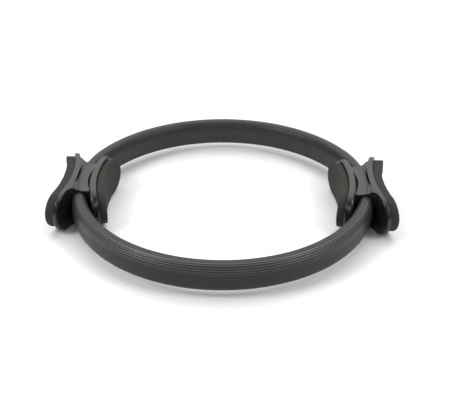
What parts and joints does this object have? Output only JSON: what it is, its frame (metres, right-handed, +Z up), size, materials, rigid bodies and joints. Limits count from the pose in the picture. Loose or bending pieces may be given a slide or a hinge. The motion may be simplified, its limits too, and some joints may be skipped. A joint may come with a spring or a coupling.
{
  "type": "pilates ring",
  "caption": "Sprung exercise hoop in ribbed dark sleeves, with a black plastic handle at each side that is padded inside and outside, for squeezing and pulling.",
  "frame": {"origin": "centre of the ring, on the surface that the ring lies on", "axes": "+X from the ring's centre to the right handle, +Y to the ring's back, +Z up along the ring's axis"},
  "size_m": [0.3974, 0.3546, 0.048],
  "materials": {
    "sleeve": "matte",
    "glass_fibre": "satin",
    "shell": "gloss",
    "pad": "matte",
    "steel": "satin"
  },
  "bodies": {
    "hoop": {"front_sleeve": "sleeve", "rear_sleeve": "sleeve", "outer_spring_band": "glass_fibre", "inner_spring_band": "glass_fibre"},
    "left_handle": {"left_outer_shell": "shell", "left_inner_shell": "shell", "left_outer_pad": "pad", "left_inner_pad": "pad", "left_screws": "steel", "left_washers": "steel", "left_nuts": "steel"},
    "right_handle": {"right_outer_shell": "shell", "right_inner_shell": "shell", "right_outer_pad": "pad", "right_inner_pad": "pad", "right_screws": "steel", "right_washers": "steel", "right_nuts": "steel"}
  },
  "joints": [
    {"name": "squeeze_left", "type": "slide", "parent": "hoop", "child": "left_handle", "axis": [1, 0, 0], "range_m": [-0.015, 0.035], "stiffness_N_per_m": 2900, "deforming": ["front_sleeve", "rear_sleeve", "outer_spring_band", "inner_spring_band"]},
    {"name": "squeeze_right", "type": "slide", "parent": "hoop", "child": "right_handle", "axis": [-1, 0, 0], "range_m": [-0.015, 0.035], "stiffness_N_per_m": 2900, "deforming": ["front_sleeve", "rear_sleeve", "outer_spring_band", "inner_spring_band"]}
  ],
  "couplings": [
    {"joint": "squeeze_right", "follows": "squeeze_left", "ratio": 1}
  ]
}
